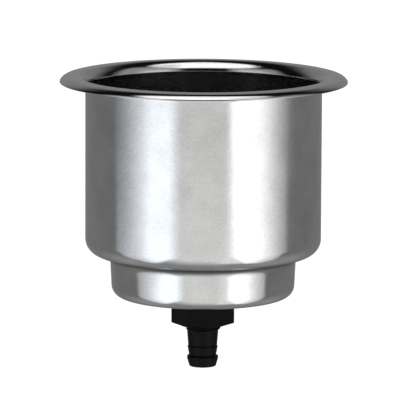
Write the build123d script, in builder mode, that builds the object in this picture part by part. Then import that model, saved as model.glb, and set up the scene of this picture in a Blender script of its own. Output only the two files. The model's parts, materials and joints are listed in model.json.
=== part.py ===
from build123d import *

import math
import os

# Drop-in drink holder with a drain: a drawn steel cup and its screwed drain fitting.
#
# The cup hangs by its flange in a round hole in a deck, a table or a side panel. The origin is on
# the cup's axis in the plane where the lip of the flange rests on the panel, and +Z points up out
# of the mouth. The head of the drain spigot lies inside the cup on a rubber gasket, the threaded
# shank goes down through the base, and a hexagonal nut pulls it tight against a washer. A drain
# hose pushes on over the two barbs. All sizes are in millimetres.

# Cup: one sheet of steel drawn in two steps, given by its outside where nothing else is said
sheet = 0.8
body_diameter = 90.0
flange_overhang = 9.85
flange_outer_slope = 5.0
flange_inner_slope = 1.0
dome_share_of_flat = 0.8
lip_height = 2.13
lip_radius = 3.4
lip_end_slope = 73.0
lip_cut_edge_radius = 0.15
mouth_radius = 4.4
ledge_depth = 66.0
ledge_width = 9.4
body_corner_radius = 6.0
step_root_radius = 3.0
step_height = 16.2
step_taper = 0.8
step_corner_radius = 4.4
base_fall = 0.4
base_seat_diameter = 31.0
base_seat_bend_radius = 12.0

# Thread that the shank of the spigot and the nut share, at its crests
thread_diameter = 14.0
thread_clearance = 0.1

# Drain spigot
head_diameter = 26.0
head_thickness = 2.4
head_edge_radius = 1.2
drain_bore_diameter = 8.0
drain_mouth_chamfer = 1.3
thread_below_nut = 1.6
thread_end_chamfer = 1.0
neck_length = 6.15
neck_bottom_diameter = 11.1
upper_barb_diameter = 11.6
lower_barb_diameter = 11.9
barb_valley_diameter = 10.4
barb_spacing = 3.85
lower_barb_land = 1.0
tip_length = 3.0
tip_diameter = 10.1
tip_edge_radius = 0.5

# Gasket under the head, and the washer and the nut below the base
gasket_inset = 1.0
gasket_thickness = 1.5
washer_overhang = 1.5
washer_thickness = 1.5
shank_hole_clearance = 0.3
nut_across_flats = 21.0
nut_height = 8.9
nut_corner_radius = 0.5
nut_edge_chamfer = 0.4
nut_bore_chamfer = 0.6
nut_turn = -2.0

os.makedirs("parts", exist_ok=True)

# Radii, from the body's wall outwards and inwards
inner_wall = body_diameter / 2 - sheet
lip_edge = body_diameter / 2 + flange_overhang
step_top = body_diameter / 2 - ledge_width
step_bottom = step_top - step_taper
shank = thread_diameter / 2
shank_hole = shank + shank_hole_clearance

# Heights down the axis, each from the one above it
ledge_inside = sheet - ledge_depth
base_inside = ledge_inside - step_height
seat_inside = base_inside - base_fall
head_underside = seat_inside + gasket_thickness
head_top = head_underside + head_thickness
seat_underside = seat_inside - sheet
nut_top = seat_underside - washer_thickness
nut_bottom = nut_top - nut_height
thread_end = nut_bottom - thread_below_nut
neck_top = thread_end - thread_end_chamfer
upper_barb = neck_top - neck_length
lower_barb = upper_barb - barb_spacing
tip_top = lower_barb - lower_barb_land
tip_end = tip_top - tip_length

# Lip of the flange: it leans outwards to its edge, and is drawn below the panel's plane and
# trimmed there, so that it rests flat
lip_lean = 1 / math.tan(math.radians(lip_end_slope))
lip_trim = sheet
lip_start = lip_edge + lip_trim * lip_lean
lip_corner = lip_edge - lip_height * lip_lean
lip_half_turn = math.radians(lip_end_slope - flange_outer_slope) / 2
flat_outer_edge = lip_corner - lip_radius * math.tan(lip_half_turn)

# Dome of the flange's top: an arc between its two slopes that fills the flat between the corners
flat_inner_edge = inner_wall + mouth_radius
half_flat = (flat_outer_edge - flat_inner_edge) / 2
slope_change = math.radians(flange_outer_slope - flange_inner_slope)
dome_radius = dome_share_of_flat * half_flat / math.tan(slope_change / 2)
dome_middle = flat_inner_edge + half_flat
outer_fall = (lip_corner - dome_middle) * math.tan(math.radians(flange_outer_slope))
inner_fall = (dome_middle - inner_wall) * math.tan(math.radians(flange_inner_slope))
dome_height = lip_height + outer_fall
mouth_height = dome_height + inner_fall

with BuildPart() as cup:
    with BuildSketch(Plane.XZ) as section:
        with BuildLine():
            inner_face = FilletPolyline(
                (lip_start, -lip_trim),
                (lip_corner, lip_height),
                (dome_middle, dome_height),
                (inner_wall, mouth_height),
                (inner_wall, ledge_inside),
                (step_top - sheet, ledge_inside),
                (step_bottom - sheet, base_inside),
                (base_seat_diameter / 2, seat_inside),
                (shank_hole, seat_inside),
                radius=[
                    lip_radius,
                    dome_radius,
                    mouth_radius,
                    body_corner_radius - sheet,
                    step_root_radius + sheet,
                    step_corner_radius - sheet,
                    base_seat_bend_radius,
                ],
            )
            offset(inner_face, amount=sheet, side=Side.LEFT, closed=True)
        make_face()
        with Locations((lip_edge, -lip_trim)):
            Rectangle(4 * sheet, 2 * lip_trim, mode=Mode.SUBTRACT)
        corners = section.vertices().filter_by_position(Axis.Y, -lip_cut_edge_radius, lip_cut_edge_radius)
        fillet(corners, lip_cut_edge_radius)
    revolve(axis=Axis.Z)
cup.part.label = "cup"
export_step(cup.part, "parts/cup.step")

with BuildPart() as drain_spigot:
    with BuildSketch(Plane.XZ):
        with BuildLine():
            Polyline(
                (0, head_top),
                (head_diameter / 2, head_top),
                (head_diameter / 2, head_underside),
                (shank, head_underside),
                (shank, thread_end),
                (shank - thread_end_chamfer, neck_top),
                (neck_bottom_diameter / 2, upper_barb),
                (upper_barb_diameter / 2, upper_barb),
                (barb_valley_diameter / 2, lower_barb),
                (lower_barb_diameter / 2, lower_barb),
                (lower_barb_diameter / 2, tip_top),
                (tip_diameter / 2, tip_end),
                (0, tip_end),
                close=True,
            )
        make_face()
    revolve(axis=Axis.Z)
    fillet(drain_spigot.edges().group_by(Axis.Z)[-1], head_edge_radius)
    fillet(drain_spigot.edges().group_by(Axis.Z)[0], tip_edge_radius)
    with Locations((0, 0, head_top)):
        Hole(radius=drain_bore_diameter / 2)
    chamfer(drain_spigot.faces().sort_by(Axis.Z)[-1].inner_wires().edges(), drain_mouth_chamfer)
drain_spigot.part.label = "drain_spigot"
export_step(drain_spigot.part, "parts/drain_spigot.step")

with BuildPart() as drain_gasket:
    with BuildSketch(Plane.XY.offset(seat_inside)):
        Circle(head_diameter / 2 - gasket_inset)
        Circle(shank_hole, mode=Mode.SUBTRACT)
    extrude(amount=gasket_thickness)
drain_gasket.part.label = "drain_gasket"
export_step(drain_gasket.part, "parts/drain_gasket.step")

with BuildPart() as nut_washer:
    with BuildSketch(Plane.XY.offset(nut_top)):
        Circle(nut_across_flats / 2 + washer_overhang)
        Circle(shank_hole, mode=Mode.SUBTRACT)
    extrude(amount=washer_thickness)
nut_washer.part.label = "nut_washer"
export_step(nut_washer.part, "parts/nut_washer.step")

with BuildPart() as drain_nut:
    with BuildSketch(Plane.XY.offset(nut_bottom)):
        RegularPolygon(nut_across_flats / 2, 6, major_radius=False, rotation=nut_turn)
    extrude(amount=nut_height)
    fillet(drain_nut.edges().filter_by(Axis.Z), nut_corner_radius)
    chamfer(drain_nut.faces().filter_by(Axis.Z).edges(), nut_edge_chamfer)
    with Locations((0, 0, nut_top)):
        Hole(radius=shank + thread_clearance)
    bore_edges = drain_nut.edges().filter_by(GeomType.CIRCLE).group_by(SortBy.RADIUS)[-1]
    chamfer(bore_edges, nut_bore_chamfer)
drain_nut.part.label = "drain_nut"
export_step(drain_nut.part, "parts/drain_nut.step")

for piece in (cup, drain_spigot, drain_gasket, nut_washer, drain_nut):
    box = piece.part.bounding_box()
    print(piece.part.label, round(piece.part.volume, 1), "mm3, from", box.min, "to", box.max)
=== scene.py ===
# %% [markdown]
# # A drop-in drink holder
#
# The real object is a cup drawn from one sheet of stainless steel. It hangs by its domed flange in
# a round hole in a deck or a table. A black moulded drain fitting goes through its base: a spigot
# with a hose tail, a hexagonal nut, and two rubber rings that seal the joint.
#
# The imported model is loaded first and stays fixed. Every piece below is built around it, in the
# same frame and in metres, so nothing has to be fitted afterwards.

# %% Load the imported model
import json
import math

import bpy
from mathutils import Matrix, Vector


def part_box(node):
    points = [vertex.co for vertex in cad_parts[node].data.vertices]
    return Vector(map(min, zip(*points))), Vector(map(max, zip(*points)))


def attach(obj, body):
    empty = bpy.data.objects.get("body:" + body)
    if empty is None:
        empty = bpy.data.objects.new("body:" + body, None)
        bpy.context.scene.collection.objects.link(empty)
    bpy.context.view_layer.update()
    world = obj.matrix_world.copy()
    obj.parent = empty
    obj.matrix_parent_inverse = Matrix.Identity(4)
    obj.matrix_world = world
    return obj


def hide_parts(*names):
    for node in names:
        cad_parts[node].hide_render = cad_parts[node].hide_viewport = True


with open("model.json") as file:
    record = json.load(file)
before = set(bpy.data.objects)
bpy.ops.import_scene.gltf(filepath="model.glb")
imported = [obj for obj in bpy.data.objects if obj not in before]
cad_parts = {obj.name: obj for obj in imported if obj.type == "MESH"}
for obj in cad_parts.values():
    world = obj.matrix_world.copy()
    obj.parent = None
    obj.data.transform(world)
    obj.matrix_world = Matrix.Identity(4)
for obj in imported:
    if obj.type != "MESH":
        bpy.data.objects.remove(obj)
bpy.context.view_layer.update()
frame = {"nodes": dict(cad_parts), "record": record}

mm = 0.001
full_turn = 2 * math.pi
quarter_turn = math.pi / 2
print("nodes:", sorted(frame["nodes"]))

# %% [markdown]
# ## The steel cup: its section
#
# A drawn cup has one even wall, so one line says all: the inside face from the lip of the flange
# over the dome, down the bore, round two steps and in to the drain hole. It could be drawn point
# by point, but a workshop drawing gives corners and radii, and so does this list. The radii of the
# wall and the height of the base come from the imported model, and the others are the sizes of the
# flange and of the two steps.

# %% Sizes of the cup
mounts = {mount["name"]: mount for mount in frame["record"]["mounts"]}
cup_low, cup_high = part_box("cup")
flange_radius = cup_high.x
crown = cup_high.z
seat_underside = cup_low.z
body_wall = mounts["panel_body"]["dims"]["r_mm"] * mm
bore_wall = mounts["cup_bore"]["dims"]["r_mm"] * mm
sheet = body_wall - bore_wall

flange_overhang = 9.985 * mm
lip_radius = 3.4 * mm
lip_height = 2.122 * mm
lip_end_slope = math.radians(73)
outer_slope = math.radians(5.0)
inner_slope = math.radians(1.0)
dome_share_of_flat = 0.8
mouth_radius = 4.4 * mm
ledge_depth = 66.0 * mm
ledge_width = 9.4 * mm
body_corner_radius = 6.0 * mm
step_root_radius = 3.55 * mm
step_height = 16.2 * mm
step_taper = 0.8 * mm
step_corner_radius = 4.4 * mm
base_seat_radius = 15.5 * mm
base_seat_bend_radius = 12.0 * mm
shank_hole = 7.3 * mm
cut_edge_radius = 0.1 * mm
foot_radius = 0.25 * mm
roll_radius = 0.9 * mm
print("sheet", round(sheet / mm, 2), "mm, flange", round(2 * flange_radius / mm, 1), "mm across")

# %% [markdown]
# ## Rounded lines
#
# Each corner of a line becomes a true arc, tangent to its two sides. Every sample on the way keeps
# its place and its heading, the direction in which the line travels there. The material always
# lies on the left of the line, so the surface faces a quarter turn to the right of the heading.
# A Bevel modifier could round the finished mesh, but its normals would be averages. With exact
# headings the mirror-like steel gets exact normals, and its reflections stay smooth.

# %% Corners to arcs
arc_step = math.radians(5)


def pointing(angle):
    """The unit vector at an angle, in the plane of radius and height."""
    return Vector((math.cos(angle), math.sin(angle)))


def heading_of(start, end):
    """The direction of travel from one point to another."""
    return math.atan2(end[1] - start[1], end[0] - start[0])


def corner_arc(before, corner, after, radius):
    """Samples (place, heading) of the arc that rounds a corner."""
    arriving = heading_of(before, corner)
    turn = (heading_of(corner, after) - arriving + math.pi) % full_turn - math.pi
    side = math.copysign(quarter_turn, turn)
    start = Vector(corner[:2]) - pointing(arriving) * radius * math.tan(abs(turn) / 2)
    centre = start + pointing(arriving + side) * radius
    steps = max(2, math.ceil(abs(turn) / arc_step))
    headings = [arriving + turn * step / steps for step in range(steps + 1)]
    return [(centre - pointing(heading + side) * radius, heading) for heading in headings]


def rounded_line(corners):
    """An open line through corners (radius from the axis, height, corner radius)."""
    samples = [(Vector(corners[0][:2]), heading_of(corners[0], corners[1]))]
    for before, corner, after in zip(corners, corners[1:], corners[2:]):
        samples += corner_arc(before, corner, after, corner[2])
    samples.append((Vector(corners[-1][:2]), heading_of(corners[-2], corners[-1])))
    return samples


def rounded_outline(corners):
    """A closed outline through such corners, listed so that the material is on the left."""
    samples = []
    for index, corner in enumerate(corners):
        before, after = corners[index - 1], corners[(index + 1) % len(corners)]
        samples += corner_arc(before, corner, after, corner[2])
    return samples


def arc_samples(centre, radius, first, last):
    """Samples of an outer rounding whose surface faces from one angle to another."""
    steps = math.ceil(abs(last - first) / arc_step)
    facings = [first + (last - first) * step / steps for step in range(steps + 1)]
    return [(centre + pointing(facing) * radius, facing + quarter_turn) for facing in facings]


print("a quarter round has", math.ceil(quarter_turn / arc_step) + 1, "samples")

# %% [markdown]
# ## The lip
#
# The press turns the flange's rim down in one bend and then trims it flat, so that it rests on the
# panel. The bend is an arc round a centre below the panel's plane. The trimming tool leaves the
# outer side of the cut rolled over: a tighter arc brings the lip upright, and a still tighter one
# turns it in to the cut. The inner corner of the cut has only a tiny rounding. A Bevel modifier
# would give both corners one radius and no roll, so the arcs are worked out here. They are tangent
# to each other and to the bend, and they draw the thin dark line that the rim of such a cup shows
# at its foot.

# %% The lip's bend and its trimmed edge
lip_edge = body_wall + flange_overhang
lip_corner = Vector((lip_edge - lip_height / math.tan(lip_end_slope), lip_height))
lip_half_turn = (lip_end_slope - outer_slope) / 2
flat_outer_edge = lip_corner.x - lip_radius * math.tan(lip_half_turn)
corner_facing = quarter_turn - (lip_end_slope + outer_slope) / 2
lip_centre = lip_corner - pointing(corner_facing) * lip_radius / math.cos(lip_half_turn)

inner_rise = cut_edge_radius - lip_centre.y
outer_rise = foot_radius - lip_centre.y
inner_reach = math.sqrt((lip_radius - sheet + cut_edge_radius) ** 2 - inner_rise ** 2)
outer_reach = math.sqrt((lip_radius - roll_radius) ** 2 - outer_rise ** 2)
bend_start = math.atan2(outer_rise, outer_reach)
bend_end = quarter_turn - outer_slope
roll_centre = Vector((lip_centre.x + outer_reach, foot_radius))
inner_corner = Vector((lip_centre.x + inner_reach, cut_edge_radius))
foot_centre = roll_centre + Vector((roll_radius - foot_radius, 0))
trimmed_edge = (
    arc_samples(inner_corner, cut_edge_radius, math.atan2(-inner_rise, -inner_reach), -quarter_turn)
    + arc_samples(foot_centre, foot_radius, -quarter_turn, 0)
    + arc_samples(roll_centre, roll_radius, 0, bend_start)[1:]
)
bend_foot = lip_centre + pointing(bend_start) * lip_radius
bend_middle = (bend_start + bend_end) / 2
bend_reach = lip_radius / math.cos((bend_end - bend_start) / 2)
bend_corner = lip_centre + pointing(bend_middle) * bend_reach
print("flange:", round(2 * max(place.x for place, heading in trimmed_edge) / mm, 2), "mm across, packed",
      round(2 * flange_radius / mm, 2), "mm")

# %% The cup's inside face
inside = seat_underside + sheet
ledge_inside = sheet - ledge_depth
base_inside = ledge_inside - step_height
step_top = body_wall - ledge_width
flat_inner_edge = bore_wall + mouth_radius
dome_middle = (flat_inner_edge + flat_outer_edge) / 2
dome_half = dome_share_of_flat * (dome_middle - flat_inner_edge)
dome_radius = dome_half / math.tan((outer_slope - inner_slope) / 2)
dome_height = lip_height + (lip_corner.x - dome_middle) * math.tan(outer_slope)
mouth_height = dome_height + (dome_middle - bore_wall) * math.tan(inner_slope)

inside_face = rounded_line([
    (*bend_foot, 0),
    (*bend_corner, lip_radius),
    (dome_middle, dome_height, dome_radius),
    (bore_wall, mouth_height, mouth_radius),
    (bore_wall, ledge_inside, body_corner_radius - sheet),
    (step_top - sheet, ledge_inside, step_root_radius + sheet),
    (step_top - step_taper - sheet, base_inside, step_corner_radius - sheet),
    (base_seat_radius, inside, base_seat_bend_radius),
    (shank_hole, inside, 0),
])
print("inside face:", len(inside_face), "samples, crown at",
      round(max(place.y for place, heading in inside_face) / mm, 3), "mm, packed", round(crown / mm, 3))

# %% [markdown]
# ## From a line to a sheet
#
# The underside runs parallel to the inside face, one sheet away. Blender's Solidify modifier makes
# such a sheet too, but it knows nothing of the trimmed lip, and it leaves the edge at the drain
# hole sharp. A deburred edge catches a thin line of light and a sharp one never does, so that edge
# gets the same tiny rounding as the lip's.

# %% Give the line its thickness


def cut_edge(place, heading, thickness, radius):
    """Samples round the cut edge at the end of a sheet's face, from the face to its underside."""
    normal = heading - quarter_turn
    steps = 4
    samples = []
    for depth, first in ((radius, normal), (thickness - radius, heading)):
        centre = place - pointing(normal) * depth - pointing(heading) * radius
        for step in range(steps + 1):
            facing = first + quarter_turn * step / steps
            samples.append((centre + pointing(facing) * radius, facing + quarter_turn))
    return samples


def sheet_outline(face, thickness, edge_radius, first_edge):
    """The closed outline of a sheet, from its one face and the edge where that face starts."""
    underside = [
        (place - pointing(heading - quarter_turn) * thickness, heading + math.pi)
        for place, heading in reversed(face[:-1])
    ]
    # The underside gives way to the first edge a hair before the place where that edge starts
    slack = edge_radius / 10
    reach = first_edge[0][0].x - slack
    underside = [(place, heading) for place, heading in underside if place.x < reach]
    return face[1:-1] + cut_edge(*face[-1], thickness, edge_radius) + underside + first_edge[:-1]


cup_outline = sheet_outline(inside_face, sheet, cut_edge_radius, trimmed_edge)
print("cup outline:", len(cup_outline), "samples")

# %% [markdown]
# ## Turning an outline on its axis
#
# A lathe or a spinning former makes a round thing by turning it, and this function does the same:
# it sweeps a closed outline round the axis. Blender's Screw modifier would do that too, but a mesh
# made here can carry the exact normal at each vertex, and that is what polished metal needs.

# %% Mesh and faces of a turned piece
segments = 256
print("one segment is", round(full_turn * flange_radius / segments / mm, 2), "mm wide at the flange")


def smooth_mesh(name, places, faces, normals, material):
    """A mesh object with exact normals and one material."""
    mesh = bpy.data.meshes.new(name)
    mesh.from_pydata(places, [], faces)
    mesh.polygons.foreach_set("use_smooth", [True] * len(mesh.polygons))
    mesh.normals_split_custom_set_from_vertices(normals)
    mesh.materials.append(material)
    piece = bpy.data.objects.new(name, mesh)
    bpy.context.scene.collection.objects.link(piece)
    print(name + ":", len(places), "vertices,", len(faces), "faces")
    return piece


def ring_faces(ring_count, ring_size):
    """Quads between neighbouring rings, closed in both directions."""
    faces = []
    for ring in range(ring_count):
        here = ring * ring_size
        there = (ring + 1) % ring_count * ring_size
        for step in range(ring_size):
            beside = (step + 1) % ring_size
            faces.append((here + step, here + beside, there + beside, there + step))
    return faces


# %% Turn a piece


def with_rows(outline, spacing, low, high):
    """The outline with more samples on its straight stretches between two heights."""
    samples = []
    for index, (place, heading) in enumerate(outline):
        samples.append((place, heading))
        following = outline[(index + 1) % len(outline)][0]
        run = following - place
        if min(place.y, following.y) < low or max(place.y, following.y) > high:
            continue
        count = int(run.length / spacing)
        samples += [(place + run * step / (count + 1), heading) for step in range(1, count + 1)]
    return samples


def turned(name, outline, material):
    """A round piece: its outline swept round the axis."""
    places = []
    normals = []
    for place, heading in outline:
        facing = pointing(heading - quarter_turn)
        for step in range(segments):
            around = pointing(full_turn * step / segments)
            places.append((place.x * around.x, place.x * around.y, place.y))
            normals.append((facing.x * around.x, facing.x * around.y, facing.y))
    return smooth_mesh(name, places, ring_faces(len(outline), segments), normals, material)


def fit_to_frame(piece, node):
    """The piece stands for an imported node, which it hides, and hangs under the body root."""
    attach(piece, "root")
    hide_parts(node)


print("each sample of an outline becomes a ring of", segments, "vertices")

# %% [markdown]
# ## Materials: four small helpers
#
# Colours are written as the hex values that a colour picker shows, and the first helper turns them
# to linear light. The second adds any node with its settings and links, the third starts a
# material, and the fourth sets plain values on its shader. A noise texture keeps mostly between
# the two values named here, so those are what its ranges are mapped from.

# %% Colours and nodes
noise_low = 0.3
noise_high = 0.7


def linear(hex_colour):
    """An sRGB hex colour as linear red, green, blue and alpha, by the formula of that standard."""
    shares = [int(hex_colour[place:place + 2], 16) / 255 for place in (1, 3, 5)]
    return [s / 12.92 if s <= 0.04045 else ((s + 0.055) / 1.055) ** 2.4 for s in shares] + [1.0]


def add_node(tree, kind, settings=(), **inputs):
    """Adds a node. settings are its own properties, and inputs are values or sockets to link."""
    node = tree.nodes.new(kind)
    for name, value in dict(settings).items():
        setattr(node, name, value)
    for name, value in inputs.items():
        key = int(name[1:]) if name.startswith("_") else name.replace("_", " ")
        socket = node.inputs[key]
        if isinstance(value, bpy.types.NodeSocket):
            tree.links.new(value, socket)
        else:
            socket.default_value = value
    return node


def new_material(name):
    """An empty material: its node tree and its Principled shader, ready to be set."""
    material = bpy.data.materials.new(name)
    material.use_nodes = True
    shader = material.node_tree.nodes["Principled BSDF"]
    return material, material.node_tree, shader


def set_inputs(shader, **inputs):
    """Plain values on the shader's own sockets."""
    for name, value in inputs.items():
        shader.inputs[name.replace("_", " ")].default_value = value


print("the middle grey #808080 is", round(linear("#808080")[0], 3), "in linear light")

# %% [markdown]
# ## Stainless steel, drawn and then polished on a spindle
#
# Polished 304 steel reflects about 0.6 of the light. The polish is bright but not perfect: there
# are broad clouds where the mop pressed harder, a grain left from the drawing, a faint unevenness
# like orange peel a few millimetres wide, and very fine lines round the cup. The eye reads them in
# the edges of the highlights. The real grain and lines are a few hundredths of a millimetre apart,
# which no render at this size can show, so both are drawn about half a millimetre apart. Where the
# mop didn't reach, the steel is satin and rougher. Its colour is also darkened there, and that is
# painted shade, in the bore and in the crease between the steps. An image of brushed metal would be
# quicker to lay on, but it has no real size and shows its seams.

# %% Polished steel: its patterns
steel, tree, shader = new_material("Polished drawn stainless steel")
cloud_size = 11 * mm
grain_size = 0.6 * mm
peel_size = 3 * mm
line_spacing = 0.5 * mm
line_length = 30 * mm
unpolished_name = "unpolished"

place = add_node(tree, "ShaderNodeTexCoord").outputs["Object"]
clouds = add_node(tree, "ShaderNodeTexNoise", Vector=place, Scale=1 / cloud_size, Detail=4.0)
grain = add_node(tree, "ShaderNodeTexNoise", Vector=place, Scale=1 / grain_size, Detail=2.0)
peel = add_node(tree, "ShaderNodeTexNoise", Vector=place, Scale=1 / peel_size, Detail=1.0)
along = add_node(
    tree, "ShaderNodeMapping", Vector=place,
    Scale=(1 / line_length, 1 / line_length, 1 / line_spacing),
)
lines = add_node(tree, "ShaderNodeTexNoise", Vector=along.outputs[0], Scale=1.0, Detail=2.0)
# This attribute also carries painted shade: where it is set, the colour below is darkened
satin_and_shade = add_node(tree, "ShaderNodeAttribute", {"attribute_name": unpolished_name}).outputs["Fac"]
print("steel: clouds", cloud_size / mm, "mm, grain", grain_size / mm, "mm, peel", peel_size / mm, "mm")

# %% Polished steel: its colour
dull_polish = linear("#C0C0C0")
bright_polish = linear("#D9D9D9")
# A dark grey, partly the satin's own dullness and partly painted shade in the bore and the crease
satin_and_shade_tone = linear("#727272")
two_noises_low = 0.66
two_noises_high = 1.34

tone = add_node(
    tree, "ShaderNodeMath", {"operation": "ADD"}, _0=clouds.outputs[0], _1=grain.outputs[0],
)
tone = add_node(
    tree, "ShaderNodeMapRange", Value=tone.outputs[0],
    From_Min=two_noises_low, From_Max=two_noises_high, To_Min=0.0, To_Max=1.0,
)
polished_colour = add_node(
    tree, "ShaderNodeMix", {"data_type": "RGBA"}, Factor=tone.outputs[0],
    _6=dull_polish, _7=bright_polish,
)
# Painted shade: where the attribute is set, the colour turns towards the dark grey
colour = add_node(
    tree, "ShaderNodeMix", {"data_type": "RGBA"}, Factor=satin_and_shade,
    _6=polished_colour.outputs[2], _7=satin_and_shade_tone,
)
tree.links.new(colour.outputs[2], shader.inputs["Base Color"])
set_inputs(shader, Metallic=1.0)
print("polished steel reflects", round(dull_polish[0], 2), "to", round(bright_polish[0], 2), "of the light")

# %% Polished steel: its roughness
clear_haze = 0.055
cloudy_haze = 0.08
grain_haze = 0.03
satin_haze = 0.27

haze = add_node(
    tree, "ShaderNodeMapRange", Value=clouds.outputs[0],
    From_Min=noise_low, From_Max=noise_high, To_Min=clear_haze, To_Max=cloudy_haze,
)
polished_roughness = add_node(
    tree, "ShaderNodeMath", {"operation": "MULTIPLY_ADD"},
    _0=grain.outputs[0], _1=grain_haze, _2=haze.outputs[0],
)
roughness = add_node(
    tree, "ShaderNodeMath", {"operation": "MULTIPLY_ADD"},
    _0=satin_and_shade, _1=satin_haze, _2=polished_roughness.outputs[0],
)
tree.links.new(roughness.outputs[0], shader.inputs["Roughness"])
print("roughness: at least", clear_haze, "where polished, and up to", satin_haze, "more where satin")

# %% Polished steel: its relief
relief_depth = 0.003 * mm
line_weight = 0.5
peel_weight = 5.0
bore_share = 0.36
relief_left_in_bore = 0.1

fine_relief = add_node(
    tree, "ShaderNodeMath", {"operation": "MULTIPLY_ADD"},
    _0=lines.outputs[0], _1=line_weight, _2=grain.outputs[0],
)
relief = add_node(
    tree, "ShaderNodeMath", {"operation": "MULTIPLY_ADD"},
    _0=peel.outputs[0], _1=peel_weight, _2=fine_relief.outputs[0],
)
pressed_smooth = add_node(
    tree, "ShaderNodeMapRange", Value=satin_and_shade,
    From_Min=0.0, From_Max=bore_share, To_Min=1.0, To_Max=relief_left_in_bore,
)
height = add_node(
    tree, "ShaderNodeMath", {"operation": "MULTIPLY"},
    _0=relief.outputs[0], _1=pressed_smooth.outputs[0],
)
bump = add_node(
    tree, "ShaderNodeBump", Strength=1.0, Distance=relief_depth, Height=height.outputs[0],
)
tree.links.new(bump.outputs[0], shader.inputs["Normal"])
print("relief:", round(relief_depth * peel_weight / mm, 4), "mm of orange peel at most")

# %% [markdown]
# ## Black nylon, moulded
#
# The spigot and the nut are glass-filled nylon from a spark-eroded mould. Its skin is a dense
# black with a fine, even grain that spreads every highlight wide and weak, so the specular level
# is low and the roughness is about a half. A plain black would do from afar, but close by the
# grain is what tells moulded plastic from paint.

# %% Moulded nylon
nylon, tree, shader = new_material("Moulded black nylon")
nylon_grain_size = 0.35 * mm
nylon_grain_depth = 0.01 * mm
nylon_dark = linear("#060607")
nylon_pale = linear("#0C0C0D")
nylon_smoothest = 0.42
nylon_roughest = 0.54

place = add_node(tree, "ShaderNodeTexCoord").outputs["Object"]
grain = add_node(tree, "ShaderNodeTexNoise", Vector=place, Scale=1 / nylon_grain_size, Detail=3.0)
colour = add_node(
    tree, "ShaderNodeMix", {"data_type": "RGBA"}, Factor=grain.outputs[0],
    _6=nylon_dark, _7=nylon_pale,
)
roughness = add_node(
    tree, "ShaderNodeMapRange", Value=grain.outputs[0],
    From_Min=noise_low, From_Max=noise_high, To_Min=nylon_smoothest, To_Max=nylon_roughest,
)
bump = add_node(
    tree, "ShaderNodeBump", Strength=0.6, Distance=nylon_grain_depth, Height=grain.outputs[0],
)
tree.links.new(colour.outputs[2], shader.inputs["Base Color"])
tree.links.new(roughness.outputs[0], shader.inputs["Roughness"])
tree.links.new(bump.outputs[0], shader.inputs["Normal"])
set_inputs(shader, IOR=1.53, Specular_IOR_Level=0.1)
print("nylon: grain", nylon_grain_size / mm, "mm, roughness", nylon_smoothest, "to", nylon_roughest)

# %% [markdown]
# ## Black rubber, moulded
#
# The gasket and the washer are pressed rubber rings: matt, and slightly grey in patches with the
# chalk that keeps them from sticking. The nylon's material could be used again, but rubber is
# rougher and its light patches are larger.

# %% Moulded rubber
rubber, tree, shader = new_material("Moulded black rubber")
chalk_size = 1.2 * mm
chalk_depth = 0.02 * mm
bare_rubber = linear("#0E0E0E")
chalky_rubber = linear("#1A1A19")
rubber_roughness = 0.75

place = add_node(tree, "ShaderNodeTexCoord").outputs["Object"]
chalk = add_node(tree, "ShaderNodeTexNoise", Vector=place, Scale=1 / chalk_size, Detail=5.0)
colour = add_node(
    tree, "ShaderNodeMix", {"data_type": "RGBA"}, Factor=chalk.outputs[0],
    _6=bare_rubber, _7=chalky_rubber,
)
bump = add_node(
    tree, "ShaderNodeBump", Strength=0.5, Distance=chalk_depth, Height=chalk.outputs[0],
)
tree.links.new(colour.outputs[2], shader.inputs["Base Color"])
tree.links.new(bump.outputs[0], shader.inputs["Normal"])
set_inputs(shader, IOR=1.52, Roughness=rubber_roughness, Specular_IOR_Level=0.2)
print("rubber: patches of chalk", chalk_size / mm, "mm, roughness", rubber_roughness)

# %% [markdown]
# ## Where the polishing mop can't reach, and painted shade
#
# The mop is a stiff cotton wheel. It runs over the flange and the outside, but it hardly enters the
# bore, which keeps the satin of the drawing punch, and it skips the crease between the two
# steps. A second material would end there in a hard line. So one number at each vertex says how
# little polish that place got, and the steel reads it. The same number also darkens the steel's
# colour there, and that darkening is painted shade: in the bore below the mouth and in the crease.

# %% How far the mop reached, and where the shade is painted
bore_fade = 4 * mm
crease_start = -1.2 * mm
crease_full = 0.6 * mm
crease_end = 3.6 * mm


def ramp(value, low, high):
    """0 below low, 1 above high, and a straight rise between."""
    return min(max((value - low) / (high - low), 0), 1)


def smooth(value, low, high):
    """The same rise with a soft start and a soft end."""
    share = ramp(value, low, high)
    return share * share * (3 - 2 * share)


def unpolished(place, heading):
    """0 where the mop ran freely and 1 where it never came; the same number sets the painted shade."""
    facing = pointing(heading - quarter_turn)
    # The bore and the flange's top face inwards or up, and all the rest faces out or down
    if facing.y > facing.x:
        return bore_share * smooth(-place.y, 0, bore_fade)
    below_ledge = -place.y - ledge_depth
    from_above = smooth(below_ledge, crease_start, -crease_full)
    return from_above * smooth(-below_ledge, -crease_end, -crease_full)


print("the crease is satin for", round((crease_end - crease_start) / mm, 1), "mm")

# %% The cup
cup_row_spacing = 1.5 * mm
cup_rows = with_rows(cup_outline, cup_row_spacing, seat_underside, crown)
cup = turned("steel_cup", cup_rows, steel)
# The number makes the steel rougher and darkens its colour as painted shade in the bore and the crease
shares = [unpolished(*sample) for sample in cup_rows for step in range(segments)]
cup.data.attributes.new(unpolished_name, "FLOAT", "POINT").data.foreach_set("value", shares)
fit_to_frame(cup, "cup")
print("the cup's outline has", len(cup_rows), "rows")

# %% [markdown]
# ## The rubber rings
#
# The gasket lies inside the cup under the spigot's head, and the washer lies between the base and
# the nut. Each is a flat ring with edges that the mould left round. A torus would be round all
# over, so each ring is turned from an outline of its own, a rectangle with four small radii.

# %% Gasket and washer


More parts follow.
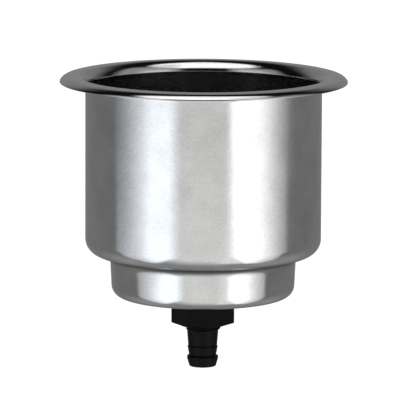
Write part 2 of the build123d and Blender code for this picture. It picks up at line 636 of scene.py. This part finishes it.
def flat_ring(name, node, material, edge_radius):
    """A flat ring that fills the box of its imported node, with a hole for the shank."""
    low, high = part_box(node)
    outline = rounded_outline([
        (shank_hole, low.z, edge_radius),
        (high.x, low.z, edge_radius),
        (high.x, high.z, edge_radius),
        (shank_hole, high.z, edge_radius),
    ])
    fit_to_frame(turned(name, outline, material), node)


rubber_edge_radius = 0.25 * mm
print("rubber edges:", rubber_edge_radius / mm, "mm")
flat_ring("rubber_gasket", "drain_gasket", rubber, rubber_edge_radius)
flat_ring("rubber_washer", "nut_washer", rubber, rubber_edge_radius)

# %% [markdown]
# ## The drain spigot
#
# One moulding: a flat head inside the cup, a threaded shank through the base, a tapered neck, and
# a hose tail with two barbs. Its outline is turned like the others. The thread could be a separate
# coil, but on a moulding it is one with the shank, so the shank's own surface dips into the groove
# of a right-hand M14 x 1.5 thread, and the groove fades out in the chamfer below it. Above each
# barb's shoulder the mould leaves a narrow groove, which shows as a black line.

# %% Sizes of the spigot
spigot_low, spigot_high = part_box("drain_spigot")
nut_low, nut_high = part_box("drain_nut")
head_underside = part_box("drain_gasket")[1].z
barb_radius = mounts["hose_barb"]["dims"]["r_mm"] * mm

shank = 7.0 * mm
head_edge_radius = 1.2 * mm
drain_bore = 4.0 * mm
drain_mouth_chamfer = 1.3 * mm
thread_below_nut = 1.6 * mm
thread_end_chamfer = 1.0 * mm
neck_length = 6.15 * mm
neck_bottom = 5.55 * mm
upper_barb = 5.8 * mm
barb_valley = 5.2 * mm
barb_spacing = 3.85 * mm
barb_land = 1.0 * mm
tip_radius = 5.05 * mm
tip_edge_radius = 0.5 * mm
mould_radius = 0.12 * mm
land_edge_radius = 0.24 * mm
bore_edge_radius = 0.36 * mm
undercut_depth = 0.35 * mm
undercut_width = 0.5 * mm

thread_end = nut_low.z - thread_below_nut
neck_top = thread_end - thread_end_chamfer
upper_barb_height = neck_top - neck_length
lower_barb_height = upper_barb_height - barb_spacing
tip_top = lower_barb_height - barb_land
print("the spigot is", round((spigot_high.z - spigot_low.z) / mm, 1), "mm long")

# %% Outline of the spigot


def undercut(radius, shoulder):
    """The narrow groove above a barb's shoulder, from its floor out to the wall above it."""
    floor_radius = radius - undercut_depth
    top = shoulder + undercut_width
    return [
        (floor_radius, shoulder, mould_radius),
        (floor_radius, top, mould_radius),
        (radius, top, mould_radius),
    ]


spigot_outline = rounded_outline([
    (drain_bore, spigot_low.z, bore_edge_radius),
    (tip_radius, spigot_low.z, tip_edge_radius),
    (barb_radius, tip_top, land_edge_radius),
    (barb_radius, lower_barb_height, mould_radius),
    *undercut(barb_valley, lower_barb_height),
    (upper_barb, upper_barb_height, mould_radius),
    *undercut(neck_bottom, upper_barb_height),
    (shank - thread_end_chamfer, neck_top, land_edge_radius),
    (shank, thread_end, mould_radius),
    (shank, head_underside, mould_radius),
    (spigot_high.x, head_underside, mould_radius),
    (spigot_high.x, spigot_high.z, head_edge_radius),
    (drain_bore + drain_mouth_chamfer, spigot_high.z, bore_edge_radius),
    (drain_bore, spigot_high.z - drain_mouth_chamfer, bore_edge_radius),
])
print("spigot outline:", len(spigot_outline), "samples")

# %% [markdown]
# ## Cutting the thread
#
# A metric thread has flanks 60 degrees apart, a crest an eighth of the pitch wide and a root a
# quarter wide. The height of a point along the shank and its angle round the axis together say
# where on that profile it lies. The Screw modifier winds such a profile too, but its ends stay
# open, and here the thread has to run out into the chamfer. So the rows of the mesh are set close
# there and pushed in to the profile, and each normal is worked out from the slope on both sides.

# %% The thread's profile
pitch = 1.5 * mm
crest_width = pitch / 8
root_width = pitch / 4
flank_width = (pitch - crest_width - root_width) / 2
flank_slope = math.tan(math.radians(60))
groove_at_front = -94.57 * mm
front = -quarter_turn


def thread_radius(height, angle):
    """How far from the axis the thread's surface lies."""
    groove = groove_at_front + pitch * (angle - front) / full_turn
    from_groove = abs((height - groove + pitch / 2) % pitch - pitch / 2)
    rise = min(max(from_groove - root_width / 2, 0), flank_width)
    return shank - flank_width * flank_slope + rise * flank_slope


print("the thread is", round(flank_width * flank_slope / mm, 2), "mm deep")

# %% The threaded shank
row_spacing = 0.1 * mm
spigot_segments = 160
wall_facing = 0.5
nudge = 0.02 * mm


def threaded(name, outline, segments, material):
    """A turned piece whose surface between the neck and the head is cut by the thread."""
    places = []
    normals = []
    for place, heading in outline:
        facing = pointing(heading - quarter_turn)
        on_shank = neck_top <= place.y <= head_underside and facing.x > wall_facing
        for step in range(segments):
            angle = full_turn * step / segments
            out = Vector((math.cos(angle), math.sin(angle), 0))
            round_about = Vector((-out.y, out.x, 0))
            radius = place.x
            normal = out * facing.x + Vector((0, 0, facing.y))
            if on_shank and thread_radius(place.y, angle) < radius:
                radius = thread_radius(place.y, angle)
                above = thread_radius(place.y + nudge, angle)
                below = thread_radius(place.y - nudge, angle)
                up = (above - below) / (2 * nudge)
                sideways = -up * pitch / full_turn / radius
                normal = (out - Vector((0, 0, up)) - round_about * sideways).normalized()
            places.append((radius * out.x, radius * out.y, place.y))
            normals.append(normal)
    return smooth_mesh(name, places, ring_faces(len(outline), segments), normals, material)


rows = with_rows(spigot_outline, row_spacing, neck_top, head_underside)
spigot = threaded("drain_spigot_moulding", rows, spigot_segments, nylon)
fit_to_frame(spigot, "drain_spigot")
print("rows of the spigot:", len(rows))

# %% [markdown]
# ## The hexagonal nut
#
# A moulded nut has six flats, small radii on its corners and a slight bevel round both faces. It
# is built as rings: each ring is a hexagon with round corners, and the rings shrink and turn over
# the bevels, cross the faces and go down the bore. A bevelled cylinder with six sides would be
# quicker, but its corners would be sharp, and moulded corners never are.

# %% Rounded hexagon
across_flats = 21.0 * mm
nut_corner_radius = 0.5 * mm
nut_bevel = 0.4 * mm
nut_bore = 7.1 * mm
nut_bore_chamfer = 0.6 * mm
nut_turn = math.radians(-2)
sides = 6
corner_steps = 8


def hexagon(inset):
    """Points and facings of a hexagon with round corners, shrunk by an inset."""
    half_corner = math.pi / sides
    corner_centre = (across_flats / 2 - nut_corner_radius) / math.cos(half_corner)
    radius = nut_corner_radius - inset
    ring = []
    for side in range(sides):
        corner = nut_turn + full_turn * side / sides
        for step in range(corner_steps + 1):
            facing = corner + half_corner * (2 * step / corner_steps - 1)
            ring.append((pointing(corner) * corner_centre + pointing(facing) * radius, facing))
    return ring


print("across corners:", round(2 * max(place.length for place, facing in hexagon(0)) / mm, 2), "mm")

# %% Rings of the nut
bevel_steps = 4
crisp_share = 0.05


def nut_ring(inset, height, tilt):
    """One ring on the outside of the nut: places and normals."""
    ring = hexagon(inset)
    places = [(*place, height) for place, facing in ring]
    normals = [(*(pointing(facing) * math.cos(tilt)), math.sin(tilt)) for place, facing in ring]
    return places, normals


def bore_ring(radius, height, tilt):
    """One ring on the bore, with its points in line with those of the hexagon."""
    angles = [math.atan2(place.y, place.x) for place, facing in hexagon(0)]
    places = [(*(pointing(angle) * radius), height) for angle in angles]
    normals = [(*(pointing(angle) * -math.cos(tilt)), math.sin(tilt)) for angle in angles]
    return places, normals


def bevel_rings(height, towards):
    """A rounded bevel at the top (towards 1) or the bottom (towards -1) of the flats."""
    rings = []
    for step in range(bevel_steps + 1):
        tilt = quarter_turn * step / bevel_steps
        inset = nut_bevel * (1 - math.cos(tilt))
        drop = nut_bevel * (1 - math.sin(tilt))
        rings.append(nut_ring(inset, height - towards * drop, towards * tilt))
    return rings


def mouth_rings(height, towards):
    """The chamfer where the bore meets a face, with a thin row at each end to keep it crisp."""
    chamfer_tilt = towards * quarter_turn / 2
    rings = [bore_ring(nut_bore + nut_bore_chamfer, height, towards * quarter_turn)]
    for share in (1 - crisp_share, crisp_share):
        drop = (1 - share) * nut_bore_chamfer
        radius = nut_bore + nut_bore_chamfer * share
        rings.append(bore_ring(radius, height - towards * drop, chamfer_tilt))
    rings.append(bore_ring(nut_bore, height - towards * nut_bore_chamfer, 0))
    return rings


print("rings in one bevel:", len(bevel_rings(nut_high.z, 1)))

# %% The nut
nut_rings = list(reversed(bevel_rings(nut_low.z, -1)))
nut_rings += bevel_rings(nut_high.z, 1)
nut_rings += mouth_rings(nut_high.z, 1)
nut_rings += list(reversed(mouth_rings(nut_low.z, -1)))
ring_size = len(nut_rings[0][0])
nut = smooth_mesh(
    "hexagonal_nut",
    [place for places, normals in nut_rings for place in places],
    ring_faces(len(nut_rings), ring_size),
    [normal for places, normals in nut_rings for normal in normals],
    nylon,
)
fit_to_frame(nut, "drain_nut")
print("the nut has", len(nut_rings), "rings of", ring_size, "points")

# %% [markdown]
# ## The camera
#
# A long lens far away, as for a catalogue picture: the cup's sides stay nearly parallel. A nearer
# camera would spread them and show more of the inside. This one looks down by nine degrees at the
# middle of the cup, and the picture leans by a quarter of a degree.

# %% Camera
camera_elevation = math.radians(8.96)
camera_distance = 1815 * mm
camera_lens = 428.3
camera_sensor = 36
camera_roll = math.radians(0.24)
aim = Vector((-1.24 * mm, 0, -45.37 * mm))

camera_data = bpy.data.cameras.new("catalogue_camera")
camera_data.lens = camera_lens
camera_data.sensor_width = camera_sensor
camera_data.clip_start = 0.1
camera_data.clip_end = 100
camera = bpy.data.objects.new("catalogue_camera", camera_data)
bpy.context.scene.collection.objects.link(camera)
back = Vector((0, -math.cos(camera_elevation), math.sin(camera_elevation)))
camera.location = aim + back * camera_distance
camera.rotation_mode = "QUATERNION"
lean = Matrix.Rotation(camera_roll, 3, "Z").to_quaternion()
camera.rotation_quaternion = (-back).to_track_quat("-Z", "Y") @ lean
bpy.context.scene.camera = camera
view_width = camera_distance * camera_sensor / camera_lens
print("the picture is", round(view_width / mm), "mm wide at the cup's axis")

# %% [markdown]
# ## The studio that the steel mirrors
#
# Polished steel has hardly a colour of its own: what it shows is the studio around it. So the
# studio is built as a photographer would build it, as a tent round the object with white panels,
# grey paper and black cloth. The tent is a large sphere, and each panel on it has a place given by
# azimuth (0 towards the camera, positive to the right) and elevation, a soft edge and a glow,
# where 1 is white paper in full light. Area lamps could stand there instead, but they would light
# the floor and the plastic too. Only mirror rays see the tent: the camera sees the white
# background, and the plain lights below do the lighting.

# %% Soft edges and tints
white = (1.0, 1.0, 1.0)
warm_white = (1.0, 0.997, 0.985)
cool_white = (0.925, 0.97, 1.03)


def band(value, low, high, soft):
    """1 between low and high, fading over a soft edge centred on each."""
    half = soft / 2
    return smooth(value, low - half, low + half) * smooth(-value, -high - half, -high + half)


def tinted(glow, tint):
    """A glow as red, green and blue."""
    return [glow * share for share in tint]


def mixed(glow, panel_glow, cover):
    """A glow after a panel has covered a share of it."""
    return [behind + (panel - behind) * cover for behind, panel in zip(glow, panel_glow)]


print("a band 10 wide with edges 4 soft, at its edge:", band(10, 0, 10, 4))

# %% Plain panels of the tent
panels = {
    # azimuth from and to, elevation from and to, soft edges sideways and upwards, glow, tint
    "black cloth": (-180, 180, -20, 90, 10, 3, 0.006, white),
    "dim wall behind": (130, 230, -20, 38, 40, 26, 0.26, white),
    "dim wall beside the camera, left": (-84, -30, -20, 38, 18, 18, 0.38, white),
    "dim wall beside the camera, right": (28, 98, -20, 47, 26, 18, 0.38, white),
    "window beside the camera, left": (-66, -32, -20, 22, 24, 24, 0.80, white),
    "window beside the camera, right": (30, 66, -20, 22, 24, 24, 0.82, white),
    "floor behind the table": (-180, 180, -95, -4, 10, 3, 0.22, white),
    "floor beside the table": (-142, 142, -95, -34, 40, 44, 0.41, white),
    "paper under the camera": (-40, 50, -95, -4, 50, 12, 0.96, warm_white),
}
print("panels:", "; ".join(panels))

# %% [markdown]
# ## Two soft boxes
#
# A tall soft box stands on each side of the camera, and the cup's wall and its step mirror the two
# as bright bands. Two rectangles would do for the straight walls. But the round corners of the cup
# look further down, and there the bands end in curves. So each edge of a box has an azimuth at the
# horizon and bends from there with the depth, the angle below the horizon.

# %% Places of the soft boxes
# Angles are in degrees. A bend is (by, from depth, to depth), a fan is (by, from depth, over how
# many degrees), and the other pairs are rises (from, to). The left near edge counts to the left
low_part = (7, 10)
box_foot = (-62, -55)

left_box_glow = 1.74
left_near_edge = 28
left_near_fan = (42, 10, 50)
left_near_soft_in = 9
left_near_soft_out = 8
left_far_edge = -95.5
left_far_bends = ((2.5, 7, 10), (4, 10, 15), (6, 20, 55))
left_far_soft = 2.5
left_brightens = (-93, -52)
left_brightens_power = 1.5
left_far_share = 0.04
left_far_share_gain = 0.16
left_top = (-3, 10)

right_box_glow = 1.85
right_near_edge = 26
right_near_bends = ((3, 7.5, 9.5), (2.5, 10, 15))
right_near_fan = (24, 9, 44)
right_near_soft = 5
right_fades_out = -102
right_fades_from = -40
right_fades_later = 4
right_far_edge = 89
right_far_bends = ((-4.5, 9, 15), (5, 20, 45))
right_far_soft = 3
right_top = (3, 5)
print("boxes: near edges at azimuth", -left_near_edge, "and", right_near_edge)

# %% Soft boxes


def bent(edge, bends, depth):
    """Where an edge stands at a depth, after its bends."""
    return edge + sum(by * smooth(depth, start, end) for by, start, end in bends)


def fanned(by, start, over, depth):
    """How far an edge has fanned out at a depth, as a parabola."""
    return by * (max(0, depth - start) / over) ** 2


def left_box(azimuth, depth):
    """How much of the left box shows. It fades towards its far edge."""
    near = left_near_edge + fanned(*left_near_fan, depth)
    far = bent(left_far_edge, left_far_bends, depth)
    cover = smooth(-azimuth, near - left_near_soft_in, near + left_near_soft_out)
    cover *= smooth(azimuth, far - left_far_soft, far + left_far_soft)
    share = left_far_share + left_far_share_gain * smooth(depth, *low_part)
    share += (1 - share) * ramp(azimuth, *left_brightens) ** left_brightens_power
    return cover * share * smooth(-depth, *box_foot) * smooth(depth, *left_top)


def right_box(azimuth, depth):
    """How much of the right box shows. It fades out sideways, and low down it has a far edge too."""
    low = smooth(depth, *low_part)
    near = bent(right_near_edge, right_near_bends, depth) + fanned(*right_near_fan, depth)
    far = bent(right_far_edge, right_far_bends, depth)
    cover = smooth(azimuth, near - right_near_soft, near + right_near_soft)
    cover *= smooth(-azimuth, right_fades_out - right_fades_later * low, right_fades_from)
    cover *= 1 - low * smooth(azimuth, far - right_far_soft, far + right_far_soft)
    return cover * smooth(-depth, *box_foot) * smooth(depth, *right_top)


print("at 20 degrees down, the left box shows", round(left_box(-60, 20), 2), "at azimuth -60")
print("and the right box", round(right_box(60, 20), 2), "at azimuth 60")

# %% [markdown]
# ## Ceiling and table
#
# The lip of the flange turns from facing up to facing the camera. So it mirrors the tent from the
# wall behind, over the ceiling and down in front, and the ceiling is the bright line along it. One
# round cap would give that line the same width everywhere. This ceiling is low in front and ends
# higher up towards the back, which narrows the line at the sides, and a shade dims it on the
# right. The round corners of the cup look down and mirror the table, which is darker straight
# below the cup. The right box spills some light on it.

# %% Ceiling and table
# Sides and rows are bands (from, to, soft edge), and the other pairs are soft rises (from, to)
ceiling_front_glow = 1.7
ceiling_side_glow = 1.35
ceiling_turns = (40, 110)
ceiling_edge = 35
ceiling_edge_rise = 44
ceiling_edge_rises = (20, 140)
ceiling_soft = 8
shade_strength = 0.4
shade_sides = (33, 75, 14)
shade_fades = (-75, -60)
zenith = (76, 90)
table_glow = 0.31
table_darkens = (26, 88)
spill_glow = 1.1
spill_sides = (21, 60, 12)
spill_rows = (-58, -8.5, 3)
spill_fades = (-72, -44)


def ceiling(azimuth, elevation):
    """The ceiling's glow, and how much of it shows."""
    aside = abs(azimuth)
    change = ceiling_side_glow - ceiling_front_glow
    glow = ceiling_front_glow + change * smooth(aside, *ceiling_turns)
    glow *= 1 - shade_strength * band(azimuth, *shade_sides) * smooth(-elevation, *shade_fades)
    edge = ceiling_edge + ceiling_edge_rise * smooth(aside, *ceiling_edge_rises)
    return glow, smooth(elevation, edge - ceiling_soft, edge + ceiling_soft)


def spill(azimuth, elevation):
    """How much of the light that the right box spills on the table shows."""
    return band(azimuth, *spill_sides) * band(elevation, *spill_rows) * smooth(elevation, *spill_fades)


print("the ceiling ends at", ceiling_edge, "degrees in front,", ceiling_edge + ceiling_edge_rise, "behind")

# %% The tent's glow


def tent_glow(azimuth, elevation):
    """The tent's glow in one direction, as red, green and blue."""
    glow = [0.0] * 3
    for left, right, low, high, soft_side, soft_up, panel_glow, tint in panels.values():
        sideways = max(band(azimuth + turn, left, right, soft_side) for turn in (-360, 0, 360))
        glow = mixed(glow, tinted(panel_glow, tint), sideways * band(elevation, low, high, soft_up))
    glow = mixed(glow, tinted(table_glow, white), smooth(-elevation, *table_darkens))
    glow = mixed(glow, tinted(spill_glow, white), spill(azimuth, elevation))
    glow = mixed(glow, tinted(left_box_glow, cool_white), left_box(azimuth, -elevation))
    glow = mixed(glow, tinted(right_box_glow, white), right_box(azimuth, -elevation))
    above, cover = ceiling(azimuth, elevation)
    glow = mixed(glow, tinted(above, white), cover)
    return mixed(glow, tinted(ceiling_side_glow, white), smooth(elevation, *zenith))


print("glow straight ahead of the cup:", [round(part, 2) for part in tent_glow(0, 0)])

# %% The tent's mesh
tent_radius = 5.0
tent_step = 2
tent_glow_name = "glow"


def tent_sphere():
    """A sphere of quads with the glow kept at each of its vertices."""
    places = []
    glows = []
    azimuths = range(-180, 180, tent_step)
    elevations = range(-90, 91, tent_step)
    for elevation in elevations:
        for azimuth in azimuths:
            a, e = math.radians(azimuth), math.radians(elevation)
            direction = Vector((math.sin(a) * math.cos(e), -math.cos(a) * math.cos(e), math.sin(e)))
            places.append(direction * tent_radius)
            glows += tent_glow(azimuth, elevation) + [1.0]
    faces = []
    around = len(azimuths)
    for row in range(len(elevations) - 1):
        for column in range(around):
            beside = (column + 1) % around
            faces.append((row * around + column, row * around + beside,
                          (row + 1) * around + beside, (row + 1) * around + column))
    mesh = bpy.data.meshes.new("studio_tent")
    mesh.from_pydata(places, [], faces)
    attribute = mesh.color_attributes.new(tent_glow_name, "FLOAT_COLOR", "POINT")
    attribute.data.foreach_set("color", glows)
    tent = bpy.data.objects.new("studio_tent", mesh)
    bpy.context.scene.collection.objects.link(tent)
    return tent


tent = tent_sphere()
tent.location = aim
for kind in ("camera", "diffuse", "transmission", "volume_scatter", "shadow"):
    setattr(tent, "visible_" + kind, False)
print("tent:", len(tent.data.vertices), "vertices")

# %% The tent's cloth
cloth, tree, shader = new_material("Studio tent cloth")
tree.nodes.remove(shader)
painted = add_node(tree, "ShaderNodeAttribute", {"attribute_name": tent_glow_name})
emission = add_node(tree, "ShaderNodeEmission", Color=painted.outputs["Color"])
tree.links.new(emission.outputs[0], tree.nodes["Material Output"].inputs["Surface"])
tent.data.materials.append(cloth)
print("the cloth glows by the attribute", tent_glow_name)

# %% [markdown]
# ## Floor, background and light
#
# The floor and the background are pale and plain. The world is white to the camera and to mirror
# and glass rays, and a soft even light to everything else. A world that is white for all rays would
# be simpler, but its light would be too strong for the floor and the plastic. One large soft sun
# adds a direction, so that round things look round and a shadow falls on the floor. The floor's
# paper glows a little for the rays that make the picture, and so it meets the white behind it
# without a line and still keeps the shadow.

# %% World
world_light = 0.6
world_white = 1.0


def picture_rays(tree):
    """1 for the rays that make the picture (camera, mirror, glass) and 0 for those that light it."""
    rays = add_node(tree, "ShaderNodeLightPath").outputs
    seen = rays["Is Camera Ray"]
    for kind in ("Is Glossy Ray", "Is Transmission Ray"):
        either = add_node(tree, "ShaderNodeMath", {"operation": "MAXIMUM"}, _0=seen, _1=rays[kind])
        seen = either.outputs[0]
    return seen


world = bpy.data.worlds.new("white_background")
bpy.context.scene.world = world
world.use_nodes = True
tree = world.node_tree
strength = add_node(
    tree, "ShaderNodeMapRange", Value=picture_rays(tree),
    From_Min=0.0, From_Max=1.0, To_Min=world_light, To_Max=world_white,
)
background = tree.nodes["Background"]
background.inputs["Color"].default_value = (1, 1, 1, 1)
tree.links.new(strength.outputs[0], background.inputs["Strength"])
print("world:", world_light, "as light,", world_white, "as background")

# %% Sun
sun_strength = 1.25
sun_width = math.radians(35)
sun_lean_back = math.radians(28)
sun_lean_side = math.radians(-24)
sun_data = bpy.data.lights.new("soft_sun", "SUN")
sun_data.energy = sun_strength
sun_data.angle = sun_width
sun = bpy.data.objects.new("soft_sun", sun_data)
sun.rotation_euler = (sun_lean_back, sun_lean_side, 0)
sun.visible_glossy = False
bpy.context.scene.collection.objects.link(sun)
print("sun: strength", sun_strength)

# %% Floor
floor_height = -0.26
floor_radius = 6.0
floor_sides = 64
floor_mesh = bpy.data.meshes.new("pale_floor")
rim = [pointing(full_turn * step / floor_sides) * floor_radius for step in range(floor_sides)]
floor_mesh.from_pydata([(*place, floor_height) for place in rim], [], [tuple(range(floor_sides))])
floor = bpy.data.objects.new("pale_floor", floor_mesh)
bpy.context.scene.collection.objects.link(floor)
floor.visible_glossy = False

# %% Paper on the floor
paper_lift = 0.3
paper, tree, shader = new_material("Matt white paper")
set_inputs(shader, Base_Color=linear("#EDEDEC"), Roughness=0.9, Specular_IOR_Level=0.0)
set_inputs(shader, Emission_Color=(1, 1, 1, 1))
lift = add_node(
    tree, "ShaderNodeMath", {"operation": "MULTIPLY"}, _0=picture_rays(tree), _1=paper_lift,
)
tree.links.new(lift.outputs[0], shader.inputs["Emission Strength"])
floor_mesh.materials.append(paper)
print("the paper's lift:", paper_lift)

# %% Picture settings
bpy.context.scene.view_settings.view_transform = "Standard"
print("view transform:", bpy.context.scene.view_settings.view_transform)
